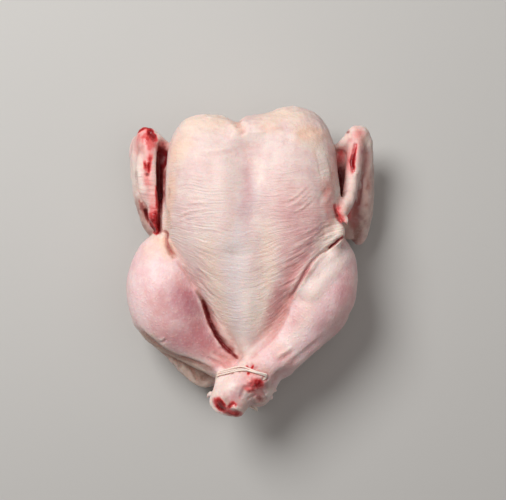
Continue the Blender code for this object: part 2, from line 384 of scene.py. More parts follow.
def wander(points, size, seed):
    # smooth noise from about -1 to 1 that changes over size
    shift = Vector((seed * 17.3, seed * 7.1, seed * 3.7))
    return np.array([noise.noise(Vector(p) / size + shift) for p in points]) * 1.6


def wanderVector(points, size, seed):
    shift = Vector((seed * 11.9, seed * 5.3, seed * 2.9))
    return np.array([noise.noise_vector(Vector(p) / size + shift) for p in points])


def neighbourMean(values, edges, counts):
    total = np.empty_like(values)
    for axis in range(values.shape[1]):
        ahead = np.bincount(edges[:, 0], values[edges[:, 1], axis], len(values))
        behind = np.bincount(edges[:, 1], values[edges[:, 0], axis], len(values))
        total[:, axis] = (ahead + behind) / counts
    return total


def hollowness(piece, points, rounds, depth):
    # 1 in a crease that deep, -1 on a ridge that high
    edges = np.empty(len(piece.data.edges) * 2, int)
    piece.data.edges.foreach_get("vertices", edges)
    edges = edges.reshape(-1, 2)
    counts = np.maximum(np.bincount(edges.ravel(), minlength=len(points)), 1)
    softened = points
    for _ in range(rounds):
        softened = neighbourMean(softened, edges, counts)
    rise = np.einsum("ij,ij->i", softened - points, vertexValues(piece))
    return np.clip(rise / depth, -1, 1)


# the regions of the skin, each a share from 0 to 1

skinRegions = {
    "keelX": -8,
    # the inner edge of the left and the right leg: y, and how far out it is there
    "legEdges": {
        -1: ((-80, -66, -48, -30, -13, -3, 5, 24), (8, 22, 30, 37, 45, 53, 60, 70)),
        1: ((-76, -66, -53, -34, -20, -2, 10, 18), (-4, 8, 20, 30, 38, 50, 62, 72)),
    },
    # where the loose skin beyond the left leg starts: x, and y there
    "flapEdge": ((-96, -88, -76, -63, -48, -33, -27), (-46, -53, -63.6, -73, -78, -84, -94)),
    "looseArmpit": [(68, 30), (58, 20)],
    "looseFlap": [(-62, -74, 36), (-42, -92, 30), (-26, -96, 28)],
}


def legShare(points):
    x, y = points[:, :2].T
    edges = skinRegions["legEdges"].items()
    legs = [eased(side * x - np.interp(y, *edge), -1, 2) for side, edge in edges]
    return np.maximum(*legs) * eased(-y, -24, -14)


def flapShare(points):
    x, y = points[:, :2].T
    return eased(np.interp(x, *skinRegions["flapEdge"]) - y, -1, 2) * eased(-x, 29, 35)


def breastShare(points):
    y, z = points[:, 1:].T
    return eased(z, 48, 66) * eased(y, -80, -60) * (1 - legShare(points))


def wrinkledShare(points, start, nearNeck, nearKeel):
    # the breast, less of it towards the neck and along the keel
    x, y = points[:, :2].T
    down = nearNeck + (1 - nearNeck) * eased(-y, start, start + 24)
    off = nearKeel + (1 - nearKeel) * eased(np.abs(x - skinRegions["keelX"]), 14, 34)
    return breastShare(points) * down * off


def looseShare(points):
    # where the skin hangs loose and crumples
    x, y, z = points.T
    neck = eased(y, 82, 104)
    tail = eased(-y, 78, 96) * eased(50 - z, 0, 14)
    wings = eased(np.abs(x), 80, 88) * eased(y, 10, 20)
    armpit = brushed(points, skinRegions["looseArmpit"], 16)
    flap = brushed(points, skinRegions["looseFlap"], 26)
    return np.clip(0.7 * neck + tail + 0.6 * wings + 0.8 * armpit + flap, 0, 1)


def wrinkleRun(points):
    # its level lines are the fine wrinkles: across the breast, bowed towards the keel
    x, y = points[:, :2].T
    halfWidth = np.clip(10 + (y + 75) * 0.61, 10, 70)
    bow = eased(-y, -45, -10) * (x - skinRegions["keelX"]) ** 2 / (2 * halfWidth)
    return y - bow + 2.0 * wander(points, 16, 5)


# the bird's own shape

birdForm = {
    "firstVoxel": 1.9,
    "firstEasing": 10,
    "voxel": 1.1,
    "easing": 2,
    "triangles": 196000,
    "boxed": ((0, 95, 0.05), (2, 94, 0.12)),  # axis, where the squeeze starts and its share
    # flesh and skin that melts into the rest, as x, y, z and radius along each
    "fillings": {
        "leftNeckLobe": [(-40, 108, 62, 5), (-30, 110, 60, 7), (-22, 111, 57, 6)],
        "rightWrist": [(78, 103, 56, 4.4), (84, 104, 56, 5.4), (90, 101, 52, 5.4), (93, 93, 47, 5),
            (94.5, 84, 43, 4.6)],
        "rightHand": [(79.5, 82, 57, 4), (79, 73, 57, 5.4), (78.4, 62, 57, 5.4), (77, 54, 59, 4.4)],
        "rightWeb": [(79, 101, 53, 4.4), (74, 96, 50, 4), (69, 90, 48, 4)],
        "rightArmpitWeb": [(64, 32, 77, 5), (66, 25, 79, 6.8), (65, 18, 79, 6.8), (60, 12, 79, 5.4)],
        "rightArmpitUpper": [(56, 36, 81, 5), (58, 27, 81, 6.6), (57, 18, 81, 6.4), (52, 12, 82, 5)],
        "rightArmpitLow": [(81, 44, 34, 6), (78, 30, 34, 8), (77, 18, 32, 7)],
        "leftWeb": [(-80, 101, 54, 5), (-74, 97, 50, 4.6), (-70, 93, 47, 4.4), (-66, 90, 46, 4)],
        "leftWingSide": [(-89, 96, 50, 5), (-91, 84, 48, 5.6), (-91, 70, 46, 5), (-90, 56, 43, 3)],
        "leftArmpit": [(-67, 42, 62, 3), (-68, 34, 62, 5.4), (-68, 25, 61, 5.4), (-66, 15, 61, 4)],
        "leftSkinFold": [(-76, 21, 51, 3), (-72, 19, 56, 5), (-67, 13, 61, 5), (-63, 4, 66, 3)],
        "gapFloor": [(-41, -32, 60, 4), (-35, -45, 58, 5.2), (-30, -56, 54, 5.2), (-25, -65, 51, 5.2),
            (-17, -74, 49, 4.4)],
        "keelSide": [(-31, -34, 66, 3), (-27, -46, 65, 5), (-23, -56, 63.5, 6), (-18, -66, 61, 6),
            (-11, -76, 58, 4.4)],
        "leftHand": [(-88, 84, 58, 3), (-88, 74, 57, 4.6), (-87, 60, 56, 4.4), (-84, 48, 55, 3.4)],
        "raggedUpper": [(1, -98, 71, 6), (3, -105, 67, 6.4), (4, -111, 61, 5)],
        "raggedMiddle": [(9, -97, 66, 6), (10, -104, 63, 6)],
        "tieCover": [(20, -86, 62, 6), (15, -95, 60, 7), (12, -103, 58, 6), (10, -109, 55, 4)],
        "raggedEnd": [(2, -110, 58, 4.8), (8, -108, 59, 5.6), (13, -102, 58, 5)],
        "rightLegEdge": [(68, 12, 74, 4), (63, 7, 76, 5), (54, 0, 78.4, 6), (44, -13, 78.4, 7),
            (36, -26, 77, 7), (29, -38, 74, 5)],
        "rightThighTop": [(70, 4, 68, 6), (64, -8, 73, 9), (56, -20, 76, 10), (48, -34, 76, 9),
            (40, -46, 73, 6)],
        "rightBreastEdge": [(54, 13, 80, 5), (46, 1, 83, 6.6), (37, -10, 83, 7), (29, -22, 79, 6)],
        "flapEdge": [(-66, -76, 36, 4), (-62, -80, 34, 5.4), (-54, -87, 32, 6), (-46.5, -94, 30, 6),
            (-39.5, -98, 28, 5.6), (-34.5, -99, 28, 5)],
        "leftThighCorner": [(-90.5, -36, 43, 7), (-88.5, -46, 42, 9), (-82, -54, 41, 8)],
        "boneSide": [(-19, -86, 63, 5.4), (-21.4, -91, 64, 6.6), (-23.4, -97, 65, 6.8),
            (-25.4, -103, 67, 6)],
        "cutBase": [(-28, -110, 68, 5), (-24, -114.5, 68, 5), (-14, -116, 69, 4.4)],
    },
    # small forms that stand out, in the same way
    "additions": {
        "rightWingNail": [(73, 34, 77, 2.2), (74, 31, 77, 1.7), (75, 28, 75, 0.7)],
        "rightWingTip": [(78, 54, 60, 3.8), (76, 48, 66, 4.6), (72, 43, 72, 5), (70.5, 38, 75, 5),
            (72.5, 33, 75, 3)],
        "leftWingTip": [(-79, 44, 57, 3), (-78, 37, 57, 4.4), (-77, 30, 55.5, 4.2), (-75, 23, 53, 2)],
        "leftTipLumps": [(-80, 37, 59.6, 1.6), (-77, 35, 61, 2.2), (-75.5, 31, 59.6, 1.8)],
        "leftTipLow": [(-79, 30, 58, 1.6), (-77, 27, 57.4, 2.2), (-76, 25, 56, 1.4)],
        "leftWingBone": [(-81.6, 31.5, 57, 1), (-80.6, 29, 57, 1.4), (-79.6, 27, 56, 0.8)],
        "raggedLumps": [(0, -98, 77, 2), (3, -102, 74, 2.6), (6, -100, 73, 1.8)],
        "raggedTip": [(2, -108, 70, 2), (5, -110, 66, 2.4), (9, -108, 65, 1.8)],
        "blotchLumps": [(-4, -91, 83, 1.4), (-1, -93, 83, 2.2), (2, -95, 82, 2)],
        "blotchLow": [(-3, -98, 81.5, 1.4), (0, -98.5, 81, 1.8), (4, -98, 79.5, 1.4)],
        "cutRim": [(-31, -104, 70, 1), (-32, -110, 69, 1.8), (-28, -116, 69, 2), (-21, -119, 69, 2),
            (-13, -120, 69, 2), (-7, -118, 70, 1.4)],
        "cutKnuckle": [(-19, -108, 80, 1.6), (-16, -111, 80, 2.4), (-11, -113.5, 79, 2.2)],
        "shredLeft": [(-31, -104, 60, 2.2), (-34, -106, 58, 1.8), (-36, -109, 55, 0.6)],
        "shredLow": [(0, -114, 50, 2.4), (3, -116.6, 48, 1.8), (5, -118.6, 46.5, 0.9)],
        "shredSide": [(12, -108, 52, 3), (15, -108, 50, 2.2), (17, -111, 47, 0.6)],
        "shredUpper": [(14, -99, 58, 3), (18, -102, 55, 2), (19, -105, 52, 0.6)],
        "ventSkin": [(-19, -66, 57, 0.8), (-15, -67, 58, 1.3), (-11, -66, 60, 0.8)],
    },
    # what is cut out: the same, then how much taller than wide it is
    "carvings": {
        "leftHollow": ([(-74, 88, 54, 2), (-74, 76, 54, 3.1), (-74, 62, 54, 3.3), (-74, 48, 54, 2.6)], 2.6),
        "rightHollow": ([(70.4, 82, 56, 2.2), (70, 66, 56, 3.1), (69.4, 55, 58, 2.6), (68.6, 46, 60, 1.4)],
                        2.6),
        "raggedHollow": ([(4, -114, 56, 2.4), (7, -113, 55, 2)], 1),
    },
    # furrows and swellings: line, radius and push, or its height if it goes straight up or
    # down; a line without heights is laid from above
    "presses": [
        ([(-12, 114, 86), (-12.5, 117, 70), (-12, 117, 50), (-11, 112, 30)], 9, (0, -4.6, 0)),
        ([(-11, 108, 84), (-12, 114, 76), (-12.5, 116, 64), (-12, 116, 50)], 3.4, (0, -4, 0)),
        ([(-50, 98, 50), (-30, 112, 40), (-5, 116, 37), (20, 115, 40), (45, 102, 48)], 5, (0, -1.6, 0)),
        ([(-40, 104, 66), (-28, 111, 58), (-15, 114, 60)], 4.4, (0, -1.4, -0.6)),
        ([(0, 112, 58), (14, 117, 54), (30, 114, 60)], 4.4, (0, -1.4, -0.6)),
        ([(-17, 92), (-16.5, 66), (-15.5, 42), (-15, 20)], 15, 2),
        ([(69, 4), (61, -4), (53, -12), (46, -21)], 12, 3), ([(-83, 75), (-83, 69)], 2.8, (0.6, 0, -2.4)),
        ([(82.2, 92), (80.2, 84), (79.4, 78), (80.2, 71)], 2.4, (-0.3, 0, -1.6)),
        ([(-61, 4.4), (-63.8, 8.6), (-65.8, 13.4)], 3.4, -1.4), ([(-81, 102), (-77, 97)], 2.6, -1.4),
        ([(-73.2, 54), (-72.8, 42), (-72.8, 31), (-73, 23.5)], 2.6, -8),
        ([(-85.5, 41), (-83.5, 34.5), (-77.6, 24.6)], 2.4, -5), ([(86, 68), (86, 56), (84.6, 48)], 4, -2),
        ([(64.3, 43.5), (65.4, 38), (67.6, 34), (70.5, 30)], 2, -3.6),
        ([(-26, -109.4), (-22.6, -113.2)], 5, (0, 0.3, -1)),
        ([(-22, -115.5), (-10, -118)], 3.2, (0, 0.4, -0.7)),
        ([(-16, -111.6), (-14.3, -108.5)], 1.8, (0, 0.2, -0.5)), ([(-12.6, -113), (-9.6, -115)], 2.6, 0.8),
        ([(5, -106.6), (8, -109.6), (11, -108)], 2.4, -1.4), ([(-5.5, -97), (-8, -104)], 2.6, -0.9),
        ([(-2.5, -106.5), (3.5, -103.5)], 1.4, -1.1), ([(7, -100), (10, -105)], 1.5, -1.2),
        ([(-1, -92)], 2.4, 0.9), ([(2.6, -90.4)], 1.9, 0.8), ([(-4.4, -95)], 2, 0.7),
        ([(0.8, -96.4)], 2.1, 0.9), ([(5, -94.6)], 2, 0.9), ([(-2.4, -99.4)], 1.8, 0.7),
        ([(4, -99.4)], 1.9, 0.8), ([(0, -103)], 2.6, 1), ([(4, -106.6)], 2.2, 0.9),
        ([(10, -101)], 2.3, 0.9), ([(12, -105)], 2, 0.8),
    ],
    # drops, sloping on the left of the line and steep on its right: line, radius and depth
    "ledges": [
        ([(-45, -20), (-41, -27), (-37.6, -33.4), (-34.6, -42), (-31, -52.3), (-26.6, -60.1), (-22.2, -66.4),
          (-17.1, -71.2), (-13.2, -75.1), (-9.5, -78.5)], 6.4, 8),
        ([(56, 6), (61, 11.5), (66, 15.5), (71, 20)], 2.6, 4.4),
        ([(26, -38), (29, -30), (33, -23.4), (39.5, -11.8), (45, -2.5), (51.5, 4.6), (58, 9.4), (64, 14)],
         2.6, 3.4),
        ([(-60.1, 4), (-62.6, 6.6), (-65, 11), (-66.7, 16.3), (-65.8, 21), (-67.8, 24.6), (-71.7, 24.6)],
         4.4, 3),
        ([(-41.5, -23), (-46.7, -16.2), (-52.3, -6.6), (-56, -2.6), (-59.4, 3.4)], 7, 2.4),
        ([(-29, -88), (-33, -83.8), (-42, -79.5), (-52, -75.8), (-63, -72.6), (-74, -64), (-83, -56.4),
          (-90, -50)], 9, 4.4),
    ],
}


def copyOfNode(name):
    # a free copy of a CAD node's loose triangles, merged
    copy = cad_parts[name].copy()
    copy.data = copy.data.copy()
    copy.parent = None
    for key in list(copy.keys()):
        del copy[key]
    bpy.context.scene.collection.objects.link(copy)
    mergeDoubles(copy)
    return copy


def taperedForm(name, stations, tall=1.0):
    # a rounded strip whose radius changes along it, then made taller
    stations = softLine(stations)
    form = tubeAlong(stations[:, :3], stations[:, 3])
    form.name = name
    mergeDoubles(form, turnOut=True)
    points = pointsOf(form)
    middle = points[:, 2].mean()
    points[:, 2] = middle + (points[:, 2] - middle) * tall
    movePoints(form, points)
    return form


def fuse(bird, forms, voxel):
    joined([bird, *(taperedForm(name, line) for name, line in forms.items())])
    finishWith(bird, "REMESH", mode="VOXEL", voxel_size=voxel * mm)


def fusedBird(look):
    bird = copyOfNode("chicken")
    fuse(bird, look["fillings"], look["firstVoxel"])
    finishWith(bird, "SMOOTH", factor=0.5, iterations=look["firstEasing"])
    fuse(bird, look["additions"], look["voxel"])
    for name, (line, tall) in look["carvings"].items():
        cutter = taperedForm(name, line, tall)
        finishWith(bird, "BOOLEAN", operation="DIFFERENCE", solver="MANIFOLD", object=cutter)
        bpy.data.objects.remove(cutter)
    finishWith(bird, "REMESH", mode="VOXEL", voxel_size=look["voxel"] * mm)
    finishWith(bird, "SMOOTH", factor=0.5, iterations=look["easing"])
    print("bird fused:", len(bird.data.polygons), "faces")
    return bird


def pressed(points, look):
    exposed = seenFromAbove(points)
    for line, radius, push in look["presses"]:
        share = brushed(points, line, radius)
        if len(line[0]) == 2:
            share = share * exposed
        push = push if isinstance(push, tuple) else (0, 0, push)
        points = points + share[:, None] * np.array(push)
    for line, radius, depth in look["ledges"]:
        points[:, 2] -= exposed * depth * ledged(points, line, radius)
    return points


def thinned(bird, look):
    # fewer faces, most of all under the bird
    hidden = 1 - seenFromAbove(pointsOf(bird), clear=14, covered=24)
    group = bird.vertex_groups.new(name="underneath")
    for level in np.linspace(0.2, 1.0, 5):
        chosen = np.flatnonzero(hidden >= level - 0.1)
        group.add([int(index) for index in chosen], float(level), "REPLACE")
    share = look["triangles"] / (2 * len(bird.data.polygons))
    finishWith(bird, "DECIMATE", ratio=share, vertex_group=group.name, vertex_group_factor=4.0)
    bird.vertex_groups.clear()


# folds seen from above: line, radius and height; "rolls" are high on one side of the line
birdSkinFolds = {
    # unevenness: height and size; for the fine lumps the height added on loose skin between them
    "broadLumps": (0.35, 14),
    "looseLumps": (0.55, 7),
    "fineLumps": (0.06, 0.14, 3.4),
    "wrinkleLength": 5.5,  # how much longer than wide the finest wrinkles are
    "creases": [
        ([(-2, -83), (1, -79)], 1.4, -0.8), ([(-3.5, -83), (-4.5, -78)], 1.3, -0.6),
        ([(0, -84), (5, -81)], 1.3, -0.7), ([(30, -34), (20, -53), (8, -66), (-4, -76)], 3.2, -1.3),
        ([(-12, 116), (-11, 110), (-9, 104), (-5, 98)], 5, -1.4),
        ([(2, 103), (9, 104), (15, 109)], 3.4, -0.5), ([(8, 98), (18, 101), (30, 106)], 4.4, -0.35),
        ([(35, 98), (43, 100), (51, 102), (55, 99)], 3.8, -0.6),
        ([(23, 91), (29, 95), (37, 99)], 3.4, -0.35), ([(-31, -71), (-23, -75), (-15, -80)], 2.2, -0.9),
        ([(-26, -67), (-19, -73), (-11, -79)], 2.2, -0.8),
        ([(-36, -75), (-26, -80), (-18, -84)], 2.2, -0.8),
        ([(-50, -84), (-46, -92), (-44, -99)], 2.6, -1), ([(-62, -78), (-57, -87)], 2.6, -0.9),
    ],
    # rolls laid evenly from the first line to the last: how many, radius and height
    "fans": [
        ([(20, 44), (32, 49), (46, 61)], [(27, 35), (38, 41), (50, 49)], 6, 0.95, 0.34),
        ([(-54, 44), (-44, 45), (-30, 43)], [(-64, 26), (-52, 33), (-32, 36)], 4, 1.3, 0.3),
        ([(-50, 12), (-36, -2), (-22, -14)], [(-44, -18), (-34, -29), (-24, -42)], 9, 1.15, 0.22),
        ([(-41, -24), (-33, -34), (-25, -44)], [(-33, -42), (-26, -50), (-20, -58)], 5, 1.1, 0.22),
        ([(22, 6), (38, 14), (54, 24)], [(17, -22), (29, -16), (40, -9)], 14, 0.9, 0.19),
        ([(20, -25), (27, -21), (34, -16)], [(12, -46), (18, -42), (24, -36)], 9, 0.9, 0.16),
        ([(72, 36), (62, 34), (50, 30)], [(69, 17), (60, 13), (52, 8)], 13, 0.85, 0.26),
        ([(26, 14), (42, 22), (57, 32)], [(24, 4), (40, 10), (56, 19)], 5, 0.9, 0.26),
        ([(50, 90), (53, 76), (56, 60)], [(60, 86), (63, 74), (65, 60)], 4, 1.7, 0.38),
    ],
    "rolls": [
        ([(-43, 86), (-32, 84), (-21, 85), (-10, 89)], 2, 0.5),
        ([(-56, 89), (-48, 92), (-41, 88)], 2.6, 0.35), ([(-60, 100), (-48, 101), (-38, 98)], 3, 0.35),
        ([(12, 96), (24, 97), (36, 92)], 3, 0.35), ([(62, 58), (57, 51), (53, 43)], 2.2, 0.35),
        ([(18, -76), (25, -72), (34, -66)], 2, 0.7), ([(-73, -61), (-70, -62), (-67, -59)], 1.3, 0.6),
        ([(60, -58), (45, -70), (28, -84)], 2.6, 0.8),
    ],
    "dimples": [
        ([(-1, 107)], 2, -0.35), ([(-19, 104)], 2, -0.3), ([(8, 112)], 2.4, -0.4),
        ([(-63, 26)], 1.6, -0.6), ([(-42, 47)], 1.4, -0.5),
    ],
}


def fanned(first, last, count, radius, height):
    # the fan's rolls, each a little off its even place
    first, last = np.array(first, float), np.array(last, float)
    for number in range(count):
        share = number / (count - 1)
        stray = 0.9 * np.sin(np.arange(len(first)) * 2.4 + number * 4.1 + first[0, 0])
        line = first + (last - first) * share
        line[:, 1] += stray
        size = 1 + 0.35 * math.sin(number * 2.7 + first[0, 0])
        yield line, radius * (0.8 + 0.2 * size), height * size


def skinLift(points, folds):
    # how far the folds and the skin's unevenness raise each point
    exposed = seenFromAbove(points)
    lift = np.zeros(len(points))
    for line, radius, height in folds["creases"]:
        lift += exposed * height * brushed(points, line, radius, taper=0.15)
    rolls = [*folds["rolls"], *(roll for fan in folds["fans"] for roll in fanned(*fan))]
    for line, radius, height in rolls:
        lift += exposed * height * rolled(points, line, radius)
    for line, radius, height in folds["dimples"]:
        lift += exposed * height * brushed(points, line, radius)
    loose = looseShare(points)
    height, size = folds["broadLumps"]
    lift += height * wander(points, size, 1)
    height, size = folds["looseLumps"]
    lift += loose * height * wander(points * (1, 1, 1.4), size, 2)
    height, added, size = folds["fineLumps"]
    lift += (height + added * loose) * wander(points, size, 3)
    stretched = points / folds["wrinkleLength"]
    stretched[:, 1] = wrinkleRun(points)
    wrinkles = 0.08 * wander(stretched, 2.2, 8) + 0.03 * wander(stretched, 5.0, 9)
    lift += wrinkledShare(points, -84, 0, 0.45) * wrinkles
    return lift * eased(points[:, 2], 0.5, 6)  # the back stays flat where it lies


def sculptBird(look, folds):
    bird = fusedBird(look)
    points = pressed(pointsOf(bird), look)
    movePoints(bird, points)
    points = points + vertexValues(bird) * skinLift(points, folds)[:, None]
    points[:, 2] = np.maximum(points[:, 2], 0)
    for axis, start, share in look["boxed"]:
        points[:, axis] -= share * np.maximum(points[:, axis] - start, 0)
    movePoints(bird, points)
    thinned(bird, look)
    print("bird sculpted:", len(bird.data.polygons), "faces")
    return bird


# the bird's skin

